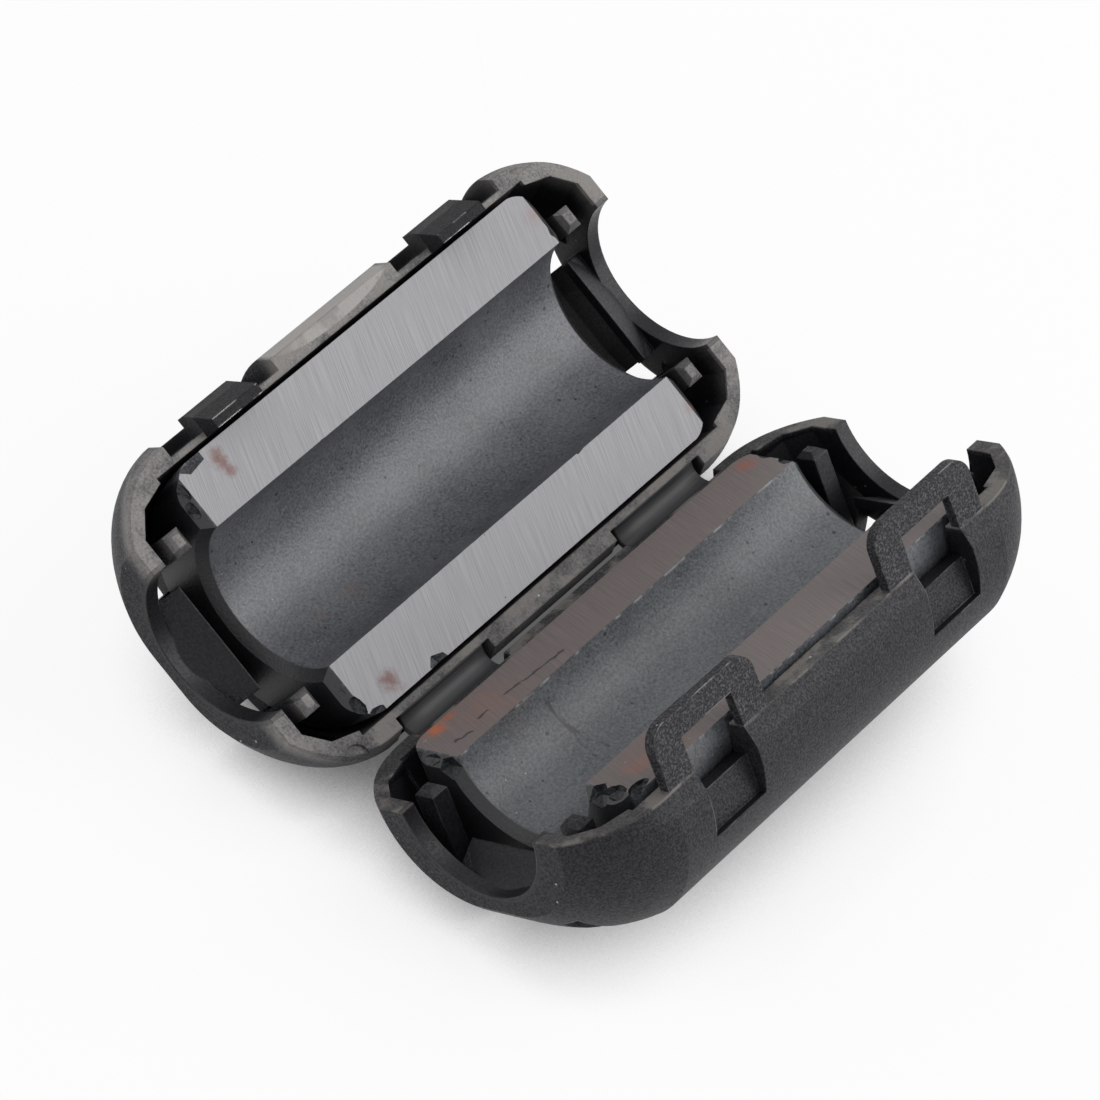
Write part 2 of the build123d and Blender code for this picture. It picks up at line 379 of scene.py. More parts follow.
    # Moulded edges are slightly rounded and catch the light, and the rounding is painted pale here and
    # there, partly scuffs and partly painted glints
    soft_edge = add_node(tree, "ShaderNodeBevel", {"samples": 6}, {"Radius": edge_round * MM})
    true_side = add_node(tree, "ShaderNodeNewGeometry", {}, {})
    straight_on = add_node(tree, "ShaderNodeVectorMath", {"operation": "DOT_PRODUCT"}, {
        0: soft_edge.outputs["Normal"],
        1: true_side.outputs["Normal"],
    })
    edge_scuff_and_glint = add_node(tree, "ShaderNodeMapRange", {}, {
        "Value": straight_on.outputs["Value"],
        "From Min": 0.97,
        "From Max": 0.85,
    })
    edge_scuff_and_glint = add_node(tree, "ShaderNodeMath", {"operation": "MULTIPLY"}, {
        0: edge_scuff_and_glint.outputs["Result"],
        1: nicks_and_glints_here.outputs["Result"],
    })
    dust_and_glints = add_node(tree, "ShaderNodeMix", {"data_type": "RGBA"}, {
        "Factor": edge_scuff_and_glint.outputs["Value"],
        "A": dust_and_glints.outputs["Result"],
        "B": linear("#8a8784"),
    })
    # Painted shade: what faces inwards is darkened towards black, and the catches take the same black as
    # their own colour
    with_shade_and_highlight = add_node(tree, "ShaderNodeMix", {"data_type": "RGBA"}, {
        "Factor": inner_shade_and_black_catch_share.outputs["Value"],
        "A": dust_and_glints.outputs["Result"],
        "B": linear("#0c0c10"),
    })
    # The ridges that run along the latch carry a painted highlight in places
    ridge_highlight = add_node(tree, "ShaderNodeMapRange", {}, {
        "Value": straight_on.outputs["Value"],
        "From Min": 0.97,
        "From Max": 0.9,
        "To Max": latch["ridge_highlight_share"],
    })
    ridge_highlight_here = add_node(tree, "ShaderNodeMapRange", {}, {
        "Value": cloud.outputs["Fac"],
        "From Min": 0.5,
        "From Max": 0.56,
    })
    ridge_highlight = add_node(tree, "ShaderNodeMath", {"operation": "MULTIPLY"}, {
        0: ridge_highlight.outputs["Result"],
        1: ridge_highlight_here.outputs["Result"],
    })
    ridge_highlight = add_node(tree, "ShaderNodeMath", {"operation": "MULTIPLY"}, {
        0: ridge_highlight.outputs["Value"],
        1: latch_here.outputs["Value"],
    })
    soft_side = add_node(tree, "ShaderNodeSeparateXYZ", {}, {"Vector": soft_edge.outputs["Normal"]})
    lengthwise = add_node(tree, "ShaderNodeMath", {"operation": "COMPARE"}, {
        0: soft_side.outputs["X"],
        1: 0.0,
        2: 0.2,
    })
    ridge_highlight = add_node(tree, "ShaderNodeMath", {"operation": "MULTIPLY"}, {
        0: ridge_highlight.outputs["Value"],
        1: lengthwise.outputs["Value"],
    })
    with_shade_and_highlight = add_node(tree, "ShaderNodeMix", {"data_type": "RGBA"}, {
        "Factor": ridge_highlight.outputs["Value"],
        "A": with_shade_and_highlight.outputs["Result"],
        "B": linear("#dcdad6"),
    })
    tree.links.new(with_shade_and_highlight.outputs["Result"], shader.inputs["Base Color"])
    sheen = add_node(tree, "ShaderNodeMapRange", {}, {
        "Value": grit.outputs["Fac"],
        "From Min": 0.3,
        "From Max": 0.7,
        "To Min": 0.64,
        "To Max": 0.48,
    })
    smoother = add_node(tree, "ShaderNodeMath", {"operation": "MULTIPLY_ADD"}, {
        0: inside.outputs["Value"],
        1: -0.15,
        2: sheen.outputs["Result"],
    })
    smoother = add_node(tree, "ShaderNodeMath", {"operation": "MULTIPLY_ADD"}, {
        0: matt_catch.outputs["Value"],
        1: 0.12,
        2: smoother.outputs["Value"],
    })
    tree.links.new(smoother.outputs["Value"], shader.inputs["Roughness"])
    outside = add_node(tree, "ShaderNodeMath", {"operation": "MULTIPLY_ADD"}, {
        0: inside.outputs["Value"],
        1: -0.85,
        2: 1.0,
    })
    bumps = add_node(tree, "ShaderNodeMath", {"operation": "MULTIPLY"}, {
        0: grit.outputs["Fac"],
        1: outside.outputs["Value"],
    })
    relief = add_node(tree, "ShaderNodeBump", {}, {
        "Strength": 0.7,
        "Distance": grit_height * MM,
        "Height": bumps.outputs["Value"],
        "Normal": soft_edge.outputs["Normal"],
    })
    tree.links.new(relief.outputs["Normal"], shader.inputs["Normal"])
    shader.inputs["IOR"].default_value = polyamide_ior
    shader.inputs["Specular IOR Level"].default_value = 0.22


base_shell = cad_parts["base_shell"]
cover_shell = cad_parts["cover_shell"]
catches = {"matt_black": 0.85, "rubbed_tops": 0.0, "ridge_highlight_share": 1.0}
loops = {"matt_black": 0.0, "rubbed_tops": 0.2, "ridge_highlight_share": 0.3}
spark_eroded_polyamide("polyamide_base_spark_eroded", base_shell, 1, 1.6, 0.95, "#8d8a88", 0.9, catches)
spark_eroded_polyamide("polyamide_cover_spark_eroded", cover_shell, -1, 0.14, 0.55, "#625f5d", 0.0, loops)

# Hinge straps
# Two thin polyamide webs moulded in one with both half cases, polished so that they bend without cracking.
# They are drawn open, hanging a little slack between the recess faces; shut, the real straps fold into a
# short loop, which is not drawn.
strap_width = 6.5
strap_spacing = 17.2
strap_thickness = 0.45
strap_sag = 0.75
strap_root_place = (0.824, 5.056)
strap_low_root_place = (1.051, 4.667)
strap_edge_round = 0.09
strap_edge_pinch = 0.2
strap_steps = 24
draw_line_length = 6.0
draw_line_width = 0.12


def arc_through(end_y, end_z, low_z, share):
    """Point at a share of the arc from (end_y, end_z) through (0, low_z) to the far side."""
    rise = end_z - low_z
    radius = (end_y ** 2 + rise ** 2) / (2 * rise)
    half_angle = math.asin(end_y / radius)
    angle = half_angle * (1 - 2 * share)
    return radius * math.sin(angle), low_z + radius * (1 - math.cos(angle))


def strap_mesh(name, middle):
    """One strap as a closed sheet with rounded long edges, drawn along its sagging arc."""
    verts = []
    faces = []
    across = [(-strap_width / 2, strap_edge_pinch), (-strap_width / 2 + strap_edge_round, 0.0)]
    across += [(-strap_width / 4, 0.0), (0.0, 0.0), (strap_width / 4, 0.0)]
    across += [(strap_width / 2 - strap_edge_round, 0.0), (strap_width / 2, strap_edge_pinch)]
    ring = len(across) * 2
    for step in range(strap_steps + 1):
        share = step / strap_steps
        top = arc_through(*strap_root_place, hinge_height - strap_sag, share)
        low = arc_through(*strap_low_root_place, hinge_height - strap_sag - strap_thickness, share)
        for x, pinch in across:
            y = top[0] + (low[0] - top[0]) * pinch
            z = top[1] + (low[1] - top[1]) * pinch
            verts.append(((middle + x) * MM, y * MM, z * MM))
        for x, pinch in reversed(across):
            y = low[0] + (top[0] - low[0]) * pinch
            z = low[1] + (top[1] - low[1]) * pinch
            verts.append(((middle + x) * MM, y * MM, z * MM))
    for step in range(strap_steps):
        for corner in range(ring):
            near = step * ring
            far = near + ring
            after = (corner + 1) % ring
            faces.append((near + corner, near + after, far + after, far + corner))
    faces.append(tuple(reversed(range(ring))))
    faces.append(tuple(range(strap_steps * ring, strap_steps * ring + ring)))
    mesh = bpy.data.meshes.new(name)
    mesh.from_pydata(verts, [], faces)
    mesh.update()
    for polygon in mesh.polygons:
        polygon.use_smooth = len(polygon.vertices) == 4
    strap = bpy.data.objects.new(name, mesh)
    bpy.context.scene.collection.objects.link(strap)
    return strap


near_strap = strap_mesh("near_strap_bent", -strap_spacing / 2)
far_strap = strap_mesh("far_strap_bent", strap_spacing / 2)

# Polished black polyamide: smoother and shinier than the case, with faint draw lines along the bend
tree, shader = finish_surface("polyamide_hinge_polished", [near_strap, far_strap])
coords = add_node(tree, "ShaderNodeTexCoord", {}, {})
along = add_node(tree, "ShaderNodeMapping", {}, {
    "Vector": coords.outputs["Object"],
    "Scale": (1 / (draw_line_length * MM), 1 / (draw_line_width * MM), 1 / (draw_line_width * MM)),
})
draw_lines = add_node(tree, "ShaderNodeTexNoise", {}, {
    "Vector": along.outputs["Vector"],
    "Scale": 1.0,
    "Detail": 2.0,
})
tone = add_node(tree, "ShaderNodeValToRGB", {}, {"Fac": draw_lines.outputs["Fac"]})
tone.color_ramp.elements[0].position = 0.3
tone.color_ramp.elements[0].color = linear("#222224")
tone.color_ramp.elements[1].position = 0.75
tone.color_ramp.elements[1].color = linear("#39393b")
tree.links.new(tone.outputs["Color"], shader.inputs["Base Color"])
gloss = add_node(tree, "ShaderNodeMapRange", {}, {
    "Value": draw_lines.outputs["Fac"],
    "To Min": 0.44,
    "To Max": 0.58,
})
tree.links.new(gloss.outputs["Result"], shader.inputs["Roughness"])
shader.inputs["IOR"].default_value = polyamide_ior
shader.inputs["Specular IOR Level"].default_value = 0.4

for strap, node in ((near_strap, "near_hinge_strap"), (far_strap, "far_hinge_strap")):
    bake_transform(strap)
    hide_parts(node)

# Ferrite core halves
# Pressed and sintered ferrite sleeves, split lengthwise. The mating strips are ground flat and shine pale;
# the bore keeps the dark satin skin of the kiln. The edges chip and rust-coloured oxide stains them.
weld_distance = 0.001
chip_swell = 0.35
chip_jag = 0.2
chip_seed_step = 7.3
crisp_angle = math.radians(28)
ground_depth = 0.02
line_spacing = 0.075
line_length = 4.0
line_turn = math.radians(20)
grain_width = 0.15
skin_cloud_width = 4.0
skin_height = 0.04
pit_spacing = 0.7
frost_spacing = 0.3
crumb_width = 0.8
end_bevel_foot = 13.5
end_bevel_edge = 13.62
stain_fray_width = 0.7
crack_bend_width = 0.6
crack_bend = 0.5


def mating_normal(hand):
    """The way that a half's mating face looks."""
    return Vector((0, -hand * math.sin(half_tilt), math.cos(half_tilt)))


def chipped_core(name, node, body, hand, chips):
    """The core half with angular chips broken out of its edges."""
    core = bpy.data.objects.new(name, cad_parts[node].data.copy())
    bpy.context.scene.collection.objects.link(core)
    whole = bmesh.new()
    whole.from_mesh(core.data)
    bmesh.ops.remove_doubles(whole, verts=whole.verts, dist=weld_distance * MM)
    whole.to_mesh(core.data)
    whole.free()
    rocks = bmesh.new()
    for number, (place, size) in enumerate(chips):
        rock = bmesh.ops.create_icosphere(rocks, subdivisions=1, radius=1.0)
        for vert in rock["verts"]:
            seed = Vector((number * chip_seed_step, 0, 0))
            swell = chip_swell * noise.noise(vert.co * 1.1 + seed)
            jag = chip_jag * noise.noise(vert.co * 3.0 + seed)
            rough = 1 + swell + jag
            shaped = Vector(vert.co[axis] * rough * size[axis] for axis in range(3))
            vert.co = to_part(hand, Vector(place) + shaped)
    for face in rocks.faces:
        face.material_index = 1
    cutter_mesh = bpy.data.meshes.new(name + "_chips")
    rocks.to_mesh(cutter_mesh)
    rocks.free()
    cutter_mesh.materials.append(None)
    cutter_mesh.materials.append(None)
    core.data.materials.append(None)
    cutter = bpy.data.objects.new(name + "_chips", cutter_mesh)
    bpy.context.scene.collection.objects.link(cutter)
    broken = core.modifiers.new("chips", "BOOLEAN")
    broken.operation = "DIFFERENCE"
    broken.solver = "EXACT"
    broken.use_self = True
    broken.object = cutter
    bpy.context.view_layer.update()
    seen = core.evaluated_get(bpy.context.evaluated_depsgraph_get())
    result = bpy.data.meshes.new_from_object(seen)
    core.modifiers.clear()
    core.data = result
    bpy.data.objects.remove(cutter)
    edges = bmesh.new()
    edges.from_mesh(result)
    for face in edges.faces:
        face.smooth = face.material_index == 0 and face.normal.dot(mating_normal(hand)) < 0.9999
    for edge in edges.edges:
        inner = len(edge.link_faces) == 2
        same = inner and edge.link_faces[0].material_index == edge.link_faces[1].material_index
        edge.smooth = same and edge.calc_face_angle(0.0) < crisp_angle
    edges.to_mesh(result)
    edges.free()
    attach(core, body)
    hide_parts(node)
    return core


# Sintered ferrite: a dark satin kiln skin with fine grain and pits, and pale lined strips where it is ground
def sintered_ferrite(name, piece, hand, colours, stains, cracks):
    tree, shader = finish_surface(name, [piece])
    place, coords = half_millimetres(tree, hand)
    upward = add_node(tree, "ShaderNodeVectorMath", {"operation": "DOT_PRODUCT"}, {
        0: coords.outputs["Normal"],
        1: mating_normal(hand),
    })
    flat = add_node(tree, "ShaderNodeMapRange", {"interpolation_type": "SMOOTHSTEP"}, {
        "Value": upward.outputs["Value"],
        "From Min": 0.985,
        "From Max": 0.998,
    })
    height = add_node(tree, "ShaderNodeSeparateXYZ", {}, {"Vector": place})
    on_top = add_node(tree, "ShaderNodeMath", {"operation": "GREATER_THAN"}, {
        0: height.outputs["Z"],
        1: -ground_depth,
    })
    ground = add_node(tree, "ShaderNodeMath", {"operation": "MULTIPLY"}, {
        0: flat.outputs["Result"],
        1: on_top.outputs["Value"],
    })
    # Grinding lines 20 degrees off square to the strip, really finer and drawn wide enough to show
    turned = add_node(tree, "ShaderNodeVectorRotate", {"rotation_type": "Z_AXIS"}, {
        "Vector": place,
        "Angle": line_turn,
    })
    lines_at = add_node(tree, "ShaderNodeMapping", {}, {
        "Vector": turned.outputs["Vector"],
        "Scale": (1 / line_spacing, 1 / line_length, 1.0),
    })
    lines = add_node(tree, "ShaderNodeTexNoise", {}, {
        "Vector": lines_at.outputs["Vector"],
        "Scale": 1.0,
        "Detail": 3.0,
        "Roughness": 0.6,
    })
    strip_tone = add_node(tree, "ShaderNodeValToRGB", {}, {"Fac": lines.outputs["Fac"]})
    strip_tone.color_ramp.elements[0].position = 0.3
    strip_tone.color_ramp.elements[0].color = linear(colours["strip_dark"])
    strip_tone.color_ramp.elements[1].position = 0.7
    strip_tone.color_ramp.elements[1].color = linear(colours["strip_light"])
    # Kiln skin with slow clouds of tone and grains, really finer and drawn wide enough to show
    grain = add_node(tree, "ShaderNodeTexNoise", {}, {
        "Vector": place,
        "Scale": 1 / grain_width,
        "Detail": 2.0,
        "Roughness": 0.6,
    })
    cloud = add_node(tree, "ShaderNodeTexNoise", {}, {
        "Vector": place,
        "Scale": 1 / skin_cloud_width,
        "Detail": 3.0,
    })
    mixed = add_node(tree, "ShaderNodeMath", {"operation": "MULTIPLY_ADD"}, {
        0: cloud.outputs["Fac"],
        1: 0.5,
        2: grain.outputs["Fac"],
    })
    skin_tone = add_node(tree, "ShaderNodeValToRGB", {}, {"Fac": mixed.outputs["Value"]})
    skin_tone.color_ramp.elements[0].position = 0.5
    skin_tone.color_ramp.elements[0].color = linear(colours["skin_dark"])
    skin_tone.color_ramp.elements[1].position = 0.92
    skin_tone.color_ramp.elements[1].color = linear(colours["skin_light"])
    surface = add_node(tree, "ShaderNodeMix", {"data_type": "RGBA"}, {
        "Factor": ground.outputs["Value"],
        "A": skin_tone.outputs["Color"],
        "B": strip_tone.outputs["Color"],
    })
    colour = surface.outputs["Result"]
    # Pits up to 0.2 mm wide, smaller on the ground strips
    pits = add_node(tree, "ShaderNodeTexVoronoi", {}, {"Vector": place, "Scale": 1 / pit_spacing})
    pit_pick = add_node(tree, "ShaderNodeSeparateColor", {}, {"Color": pits.outputs["Color"]})
    pit_size = add_node(tree, "ShaderNodeMapRange", {}, {
        "Value": pit_pick.outputs["Red"],
        "From Min": 0.5,
        "From Max": 1.0,
        "To Min": 0.0,
        "To Max": 0.16,
    })
    pit_size = add_node(tree, "ShaderNodeMath", {"operation": "MULTIPLY_ADD"}, {
        0: ground.outputs["Value"],
        1: -0.1,
        2: pit_size.outputs["Result"],
    })
    pit = add_node(tree, "ShaderNodeMath", {"operation": "LESS_THAN"}, {
        0: pits.outputs["Distance"],
        1: pit_size.outputs["Value"],
    })
    pitted = add_node(tree, "ShaderNodeMix", {"data_type": "RGBA"}, {
        "Factor": pit.outputs["Value"],
        "A": colour,
        "B": linear(colours["pit"]),
    })
    colour = pitted.outputs["Result"]
    # Frosty specks where a grain of the skin has broken open, more of them at the near end
    frost = add_node(tree, "ShaderNodeTexVoronoi", {}, {"Vector": place, "Scale": 1 / frost_spacing})
    frost_pick = add_node(tree, "ShaderNodeSeparateColor", {}, {"Color": frost.outputs["Color"]})
    frost_size = add_node(tree, "ShaderNodeMapRange", {}, {
        "Value": frost_pick.outputs["Green"],
        "From Min": 0.75,
        "From Max": 1.0,
        "To Max": 0.18,
    })
    frosted = add_node(tree, "ShaderNodeMath", {"operation": "LESS_THAN"}, {
        0: frost.outputs["Distance"],
        1: frost_size.outputs["Result"],
    })
    frost_share = add_node(tree, "ShaderNodeMapRange", {}, {
        "Value": height.outputs["X"],
        "From Min": -6.0,
        "From Max": -11.0,
        "To Min": 0.25,
        "To Max": colours["near_frost"],
    })
    frosted = add_node(tree, "ShaderNodeMath", {"operation": "MULTIPLY"}, {
        0: frosted.outputs["Value"],
        1: frost_share.outputs["Result"],
    })
    frosty = add_node(tree, "ShaderNodeMix", {"data_type": "RGBA"}, {
        "Factor": frosted.outputs["Value"],
        "A": colour,
        "B": linear("#a2a4a7"),
    })
    colour = frosty.outputs["Result"]
    # The sharp edge beside the ground strip has crumbled to a fine pale line, broken in places
    crumbled = add_node(tree, "ShaderNodeMapRange", {}, {
        "Value": height.outputs["Z"],
        "From Min": -0.16,
        "From Max": -0.08,
    })
    crumbs = add_node(tree, "ShaderNodeTexNoise", {}, {
        "Vector": place,
        "Scale": 1 / crumb_width,
        "Detail": 3.0,
    })
    crumbs_here = add_node(tree, "ShaderNodeMapRange", {}, {
        "Value": crumbs.outputs["Fac"],
        "From Min": 0.5,
        "From Max": 0.62,
        "To Max": 0.6,
    })
    not_ground = add_node(tree, "ShaderNodeMath", {"operation": "SUBTRACT"}, {
        0: 1.0,
        1: ground.outputs["Value"],
    })
    crumbled = add_node(tree, "ShaderNodeMath", {"operation": "MULTIPLY"}, {
        0: crumbled.outputs["Result"],
        1: crumbs_here.outputs["Result"],
    })
    crumbled = add_node(tree, "ShaderNodeMath", {"operation": "MULTIPLY"}, {
        0: crumbled.outputs["Value"],
        1: not_ground.outputs["Value"],
    })
    edged = add_node(tree, "ShaderNodeMix", {"data_type": "RGBA"}, {
        "Factor": crumbled.outputs["Value"],
        "A": colour,
        "B": linear("#a9abad"),
    })
    colour = edged.outputs["Result"]
    # The end faces and their bevels are darkened with painted shade
    endward = add_node(tree, "ShaderNodeMath", {"operation": "ABSOLUTE"}, {0: height.outputs["X"]})
    end_shade = add_node(tree, "ShaderNodeMapRange", {}, {
        "Value": endward.outputs["Value"],
        "From Min": end_bevel_foot,
        "From Max": end_bevel_edge,
        "To Max": 0.85,
    })
    end_shade = add_node(tree, "ShaderNodeMath", {"operation": "MULTIPLY"}, {
        0: end_shade.outputs["Result"],
        1: not_ground.outputs["Value"],
    })
    end_shaded = add_node(tree, "ShaderNodeMix", {"data_type": "RGBA"}, {
        "Factor": end_shade.outputs["Value"],
        "A": colour,
        "B": linear("#0b0c0e"),
    })
    colour = end_shaded.outputs["Result"]
    # Rust stains with ragged edges
    ragged = add_node(tree, "ShaderNodeTexNoise", {}, {
        "Vector": place,
        "Scale": 1 / stain_fray_width,
        "Detail": 4.0,
        "Roughness": 0.7,
    })
    for centre, radius, stain_colour, depth in stains:
        away = add_node(tree, "ShaderNodeVectorMath", {"operation": "DISTANCE"}, {0: place, 1: centre})
        torn = add_node(tree, "ShaderNodeMath", {"operation": "MULTIPLY_ADD"}, {
            0: ragged.outputs["Fac"],
            1: 1.6 * radius,
            2: away.outputs["Value"],
        })
        share = add_node(tree, "ShaderNodeMapRange", {"interpolation_type": "SMOOTHSTEP"}, {
            "Value": torn.outputs["Value"],
            "From Min": 0.7 * radius,
            "From Max": 1.7 * radius,
            "To Min": depth,
            "To Max": 0.0,
        })
        stained = add_node(tree, "ShaderNodeMix", {"data_type": "RGBA"}, {
            "Factor": share.outputs["Result"],
            "A": colour,
            "B": linear(stain_colour),
        })
        colour = stained.outputs["Result"]
    # Hairline cracks that wander from side to side
    for start, end, width, depth in cracks:
        run = Vector(end) - Vector(start)
        wander = add_node(tree, "ShaderNodeTexNoise", {}, {
            "Vector": place,
            "Scale": 1 / crack_bend_width,
            "Detail": 3.0,
        })
        shaken = add_node(tree, "ShaderNodeVectorMath", {"operation": "MULTIPLY_ADD"}, {
            0: wander.outputs["Color"],
            1: (crack_bend, crack_bend, crack_bend),
            2: place,
        })
        offset = add_node(tree, "ShaderNodeVectorMath", {"operation": "SUBTRACT"}, {
            0: shaken.outputs["Vector"],
            1: Vector(start) + Vector((crack_bend / 2, crack_bend / 2, crack_bend / 2)),
        })
        reach = add_node(tree, "ShaderNodeVectorMath", {"operation": "DOT_PRODUCT"}, {
            0: offset.outputs["Vector"],
            1: run / run.length_squared,
        })
        reach = add_node(tree, "ShaderNodeClamp", {}, {"Value": reach.outputs["Value"]})
        foot = add_node(tree, "ShaderNodeVectorMath", {"operation": "SCALE"}, {
            0: run,
            "Scale": reach.outputs["Result"],
        })
        gap = add_node(tree, "ShaderNodeVectorMath", {"operation": "DISTANCE"}, {
            0: offset.outputs["Vector"],
            1: foot.outputs["Vector"],
        })
        share = add_node(tree, "ShaderNodeMapRange", {}, {
            "Value": gap.outputs["Value"],
            "From Min": 0.4 * width,
            "From Max": width,
            "To Min": depth,
            "To Max": 0.0,
        })
        cracked = add_node(tree, "ShaderNodeMix", {"data_type": "RGBA"}, {
            "Factor": share.outputs["Result"],
            "A": colour,
            "B": linear(colours["pit"]),
        })
        colour = cracked.outputs["Result"]
    tree.links.new(colour, shader.inputs["Base Color"])
    satin = add_node(tree, "ShaderNodeMapRange", {}, {
        "Value": ground.outputs["Value"],
        "To Min": colours["skin_roughness"],
        "To Max": colours["strip_roughness"],
    })
    tree.links.new(satin.outputs["Result"], shader.inputs["Roughness"])
    rough_height = add_node(tree, "ShaderNodeMix", {"data_type": "FLOAT"}, {
        "Factor": ground.outputs["Value"],
        "A": grain.outputs["Fac"],
        "B": lines.outputs["Fac"],
    })
    relief = add_node(tree, "ShaderNodeBump", {}, {
        "Strength": 0.5,
        "Distance": skin_height * MM,
        "Height": rough_height.outputs["Result"],
    })
    tree.links.new(relief.outputs["Normal"], shader.inputs["Normal"])
    shader.inputs["IOR"].default_value = 1.55


base_core = chipped_core("base_core_chipped", "base_core", "base", 1, [
    ((-12.5, 7.9, 0.15), (1.1, 0.6, 0.35)),
    ((-13.85, 7.0, 0.0), (0.4, 0.8, 0.45)),
    ((-13.95, 5.9, -0.1), (0.35, 0.8, 0.5)),
    ((-13.75, -7.0, 0.0), (0.5, 0.8, 0.45)),
    ((-13.1, -7.9, 0.05), (0.9, 0.4, 0.4)),
    ((-13.95, -5.7, 0.0), (0.3, 0.7, 0.4)),
    ((-8.3, -7.95, 0.12), (0.75, 0.45, 0.3)),
    ((13.7, 5.2, 0.05), (0.3, 0.5, 0.35)),
    ((6.3, -4.4, 0.1), (0.35, 0.2, 0.2)),
    ((-5.5, 4.45, 0.1), (0.3, 0.15, 0.18)),
])
cover_core = chipped_core("cover_core_chipped", "cover_core", "cover", -1, [
    ((-14.1, 4.9, -0.3), (0.75, 0.8, 0.85)),
    ((-14.0, 6.3, -0.1), (0.5, 0.8, 0.5)),
    ((-13.9, 7.3, 0.0), (0.35, 0.5, 0.45)),
    ((-13.9, -5.6, -0.3), (0.75, 0.7, 0.8)),
    ((-13.6, -6.6, -0.1), (0.6, 0.7, 0.6)),
    ((-13.0, -7.6, 0.0), (0.8, 0.5, 0.5)),
    ((13.6, 5.0, 0.0), (0.5, 0.6, 0.45)),
    ((13.7, 6.6, 0.1), (0.4, 0.6, 0.4)),
    ((2.0, 4.4, 0.1), (0.3, 0.15, 0.18)),
    ((-1.8, 4.45, 0.1), (0.4, 0.15, 0.18)),
])
sintered_ferrite(
    "ferrite_base_ground", base_core, 1,
    {
        "strip_dark": "#838286", "strip_light": "#9a999c", "skin_dark": "#2a2c30", "skin_light": "#5b5d62",
        "pit": "#121214", "skin_roughness": 0.43, "strip_roughness": 0.55, "near_frost": 0.35,
    },
    [
        ((-11.0, 7.2, 0), 0.9, "#653527", 0.9),
        ((-10.9, 6.3, 0), 0.65, "#653527", 0.75),
        ((-11.3, -7.1, 0), 1.05, "#5c2818", 0.95),
        ((13.6, -6.5, 0), 0.7, "#85615a", 0.5),
        ((13.3, 6.5, 0), 0.9, "#8a6a66", 0.5),
        ((-7.6, -2.6, -3.3), 0.9, "#5d4a45", 0.5),
        ((-10.1, -2.4, -3.4), 0.8, "#5d4a45", 0.4),
    ],
    [],
)
# The cover's ground strips are darker and browner than the base's, partly a brown tint and partly painted
# shade
sintered_ferrite(
    "ferrite_cover_ground", cover_core, -1,
    {
        "strip_dark": "#5a5251", "strip_light": "#6e6463", "skin_dark": "#2d2f33", "skin_light": "#5f6266",
        "pit": "#14110f", "skin_roughness": 0.47, "strip_roughness": 0.55, "near_frost": 0.7,
    },
    [
        ((-9.5, 6.3, 0), 3.2, "#7a5a4f", 0.45),
        ((-10.0, -6.3, 0), 2.8, "#7a5a4f", 0.45),
        ((-11.9, 7.75, 0), 1.15, "#a9592e", 0.95),
        ((-10.8, 7.9, 0), 0.8, "#94522f", 0.8),
        ((12.6, 7.1, 0), 1.1, "#8a4a36", 0.7),
        ((-11.6, -6.2, 0), 1.2, "#8a5a4a", 0.7),
    ],
    [
        ((-8.4, 5.9, 0), (-4.3, 5.4, 0), 0.13, 0.9),
        ((-10.5, 5.8, 0), (-9.8, 5.9, 0), 0.12, 0.9),
        ((-12.6, 5.7, 0), (-11.6, 5.4, 0), 0.14, 0.9),
        ((-7.3, 4.3, -1.0), (-7.2, 3.6, -2.4), 0.17, 0.85),
        ((-7.2, 3.6, -2.4), (-6.6, 1.8, -3.7), 0.17, 0.85),
        ((-7.2, 3.6, -2.4), (-7.6, 1.8, -3.7), 0.15, 0.8),
        ((-7.6, 1.8, -3.7), (-11.2, 1.5, -3.8), 0.12, 0.3),
    ],
)

# Broken ferrite: where an edge chipped, the fresh grain shows blacker and glassier than the kiln skin. The
# grain is really finer and drawn wide enough to show.
fracture_grain = 0.12
fracture_height = 0.05
tree, shader = finish_surface("ferrite_fresh_fracture", [base_core, cover_core], 1)
coords = add_node(tree, "ShaderNodeTexCoord", {}, {})
grains = add_node(tree, "ShaderNodeTexNoise", {}, {
    "Vector": coords.outputs["Object"],
    "Scale": 1 / (fracture_grain * MM),
    "Detail": 2.0,
})
tone = add_node(tree, "ShaderNodeValToRGB", {}, {"Fac": grains.outputs["Fac"]})
tone.color_ramp.elements[0].position = 0.35
tone.color_ramp.elements[0].color = linear("#0f1013")
tone.color_ramp.elements[1].position = 0.7
tone.color_ramp.elements[1].color = linear("#383b40")
tree.links.new(tone.outputs["Color"], shader.inputs["Base Color"])
relief = add_node(tree, "ShaderNodeBump", {}, {
    "Strength": 0.7,
    "Distance": fracture_height * MM,
    "Height": grains.outputs["Fac"],
})
tree.links.new(relief.outputs["Normal"], shader.inputs["Normal"])
shader.inputs["Roughness"].default_value = 0.35
shader.inputs["IOR"].default_value = 1.6
shader.inputs["Specular IOR Level"].default_value = 0.25

# Floor
# A plain white table of matt board that the bead lies on. It bounces light back up, looks white all round,
# and keeps the bead's shadow: a little of it real, most of it painted by dimming the glow near the bead,
# darkest in the slit between the two halves.
floor_size = 4.0
shadow_reach = 12.0
mesh = bpy.data.meshes.new("floor")
side = floor_size / 2
corners = [(-side, -side, 0), (side, -side, 0), (side, side, 0), (-side, side, 0)]
mesh.from_pydata(corners, [], [(0, 1, 2, 3)])
floor = bpy.data.objects.new("floor", mesh)
bpy.context.scene.collection.objects.link(floor)


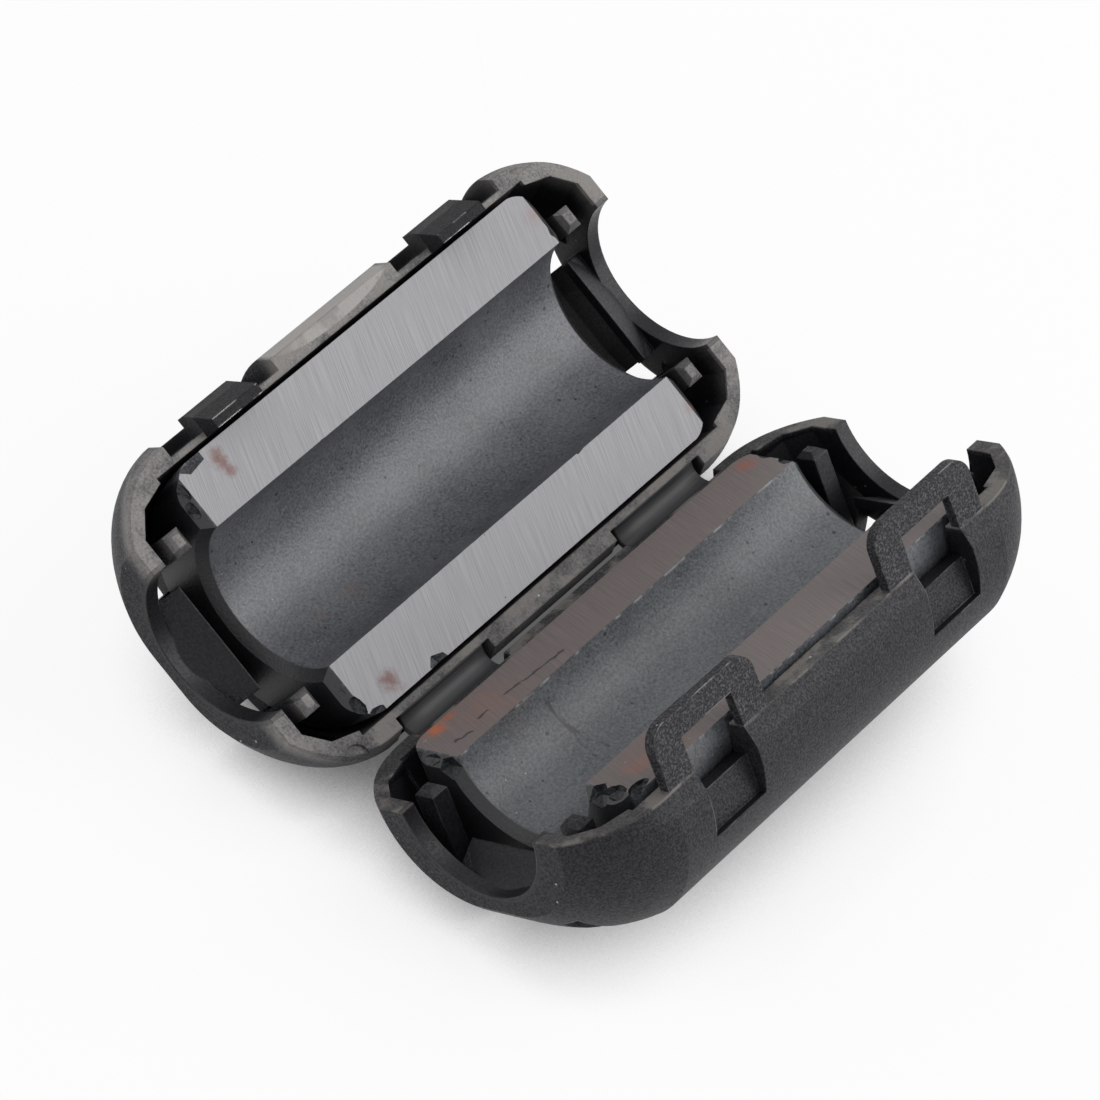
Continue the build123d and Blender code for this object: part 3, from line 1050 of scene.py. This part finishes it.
def seen_as_backdrop(tree):
    """1 for rays that see the backdrop: from the camera, through glass or off a glossy face."""
    ray = add_node(tree, "ShaderNodeLightPath", {}, {})
    direct = add_node(tree, "ShaderNodeMath", {"operation": "MAXIMUM"}, {
        0: ray.outputs["Is Camera Ray"],
        1: ray.outputs["Is Transmission Ray"],
    })
    seen = add_node(tree, "ShaderNodeMath", {"operation": "MAXIMUM"}, {
        0: direct.outputs["Value"],
        1: ray.outputs["Is Glossy Ray"],
    })
    return seen.outputs["Value"]


# Matt white board: hardly any sheen, so that it stays an even white
tree, shader = finish_surface("white_table", [floor])
shader.inputs["Base Color"].default_value = linear("#ececec")
shader.inputs["Roughness"].default_value = 0.9
shader.inputs["Specular IOR Level"].default_value = 0.0
# Painted shadow: the glow dims where the bead hides the open sky
open_sky = add_node(tree, "ShaderNodeAmbientOcclusion", {"samples": 8}, {"Distance": shadow_reach * MM})
painted_shadow_strength = add_node(tree, "ShaderNodeMapRange", {}, {
    "Value": open_sky.outputs["AO"],
    "From Min": 0.15,
    "From Max": 0.55,
    "To Min": 0.12,
    "To Max": 1.0,
})
glow = add_node(tree, "ShaderNodeEmission", {}, {
    "Color": (1, 1, 1, 1),
    "Strength": painted_shadow_strength.outputs["Result"],
})
blank = add_node(tree, "ShaderNodeMath", {"operation": "MULTIPLY"}, {0: seen_as_backdrop(tree), 1: 0.9})
table = add_node(tree, "ShaderNodeMixShader", {}, {
    "Fac": blank.outputs["Value"],
    1: shader.outputs["BSDF"],
    2: glow.outputs["Emission"],
})
tree.links.new(table.outputs["Shader"], tree.nodes["Material Output"].inputs["Surface"])

# Light
# A white studio tent with a large soft lamp from above on the cover's side, a weaker one from behind, and a
# low one that lights the cover's outer wall.
tent_strength = 0.52
world = bpy.data.worlds.new("studio_tent")
bpy.context.scene.world = world
world.use_nodes = True
tent = world.node_tree.nodes["Background"]
white = add_node(world.node_tree, "ShaderNodeMapRange", {}, {
    "Value": seen_as_backdrop(world.node_tree),
    "To Min": tent_strength,
    "To Max": 1.0,
})
tent.inputs["Color"].default_value = (1, 1, 1, 1)
world.node_tree.links.new(white.outputs["Result"], tent.inputs["Strength"])


def soft_lamp(name, place, size, power):
    """Square studio lamp turned to the middle of the bead."""
    lamp = bpy.data.lights.new(name, "AREA")
    lamp.shape = "SQUARE"
    lamp.size = size
    lamp.energy = power
    holder = bpy.data.objects.new(name, lamp)
    holder.location = place
    holder.rotation_euler = (-Vector(place)).to_track_quat("-Z", "Y").to_euler()
    bpy.context.scene.collection.objects.link(holder)


soft_lamp("key_lamp", (0.32, -0.26, 0.42), 0.4, 1.7)
soft_lamp("back_lamp", (-0.25, 0.4, 0.4), 0.4, 0.6)
soft_lamp("low_fill_lamp", (0.38, -0.34, 0.08), 0.3, 1.1)

# Camera
# A long lens from above the near end, on the cover's side, as the photograph has it. The focal length is
# counted in pixels of the photograph's square frame.
frame_pixels = 1100
focal_pixels = 6751.6
camera = bpy.data.cameras.new("photo_camera")
camera.sensor_width = 36.0
camera.lens = camera.sensor_width * focal_pixels / frame_pixels
holder = bpy.data.objects.new("photo_camera", camera)
eye = Vector((-186.748, -127.191, 269.998)) * MM
aim = Vector((-0.201, 0.872, 8.0)) * MM
roll = math.radians(-6.832)
upright = (aim - eye).to_track_quat("-Z", "Y")
holder.matrix_world = Matrix.Translation(eye) @ upright.to_matrix().to_4x4() @ Matrix.Rotation(-roll, 4, "Z")
bpy.context.scene.collection.objects.link(holder)
bpy.context.scene.camera = holder
bpy.context.scene.view_settings.view_transform = "Standard"
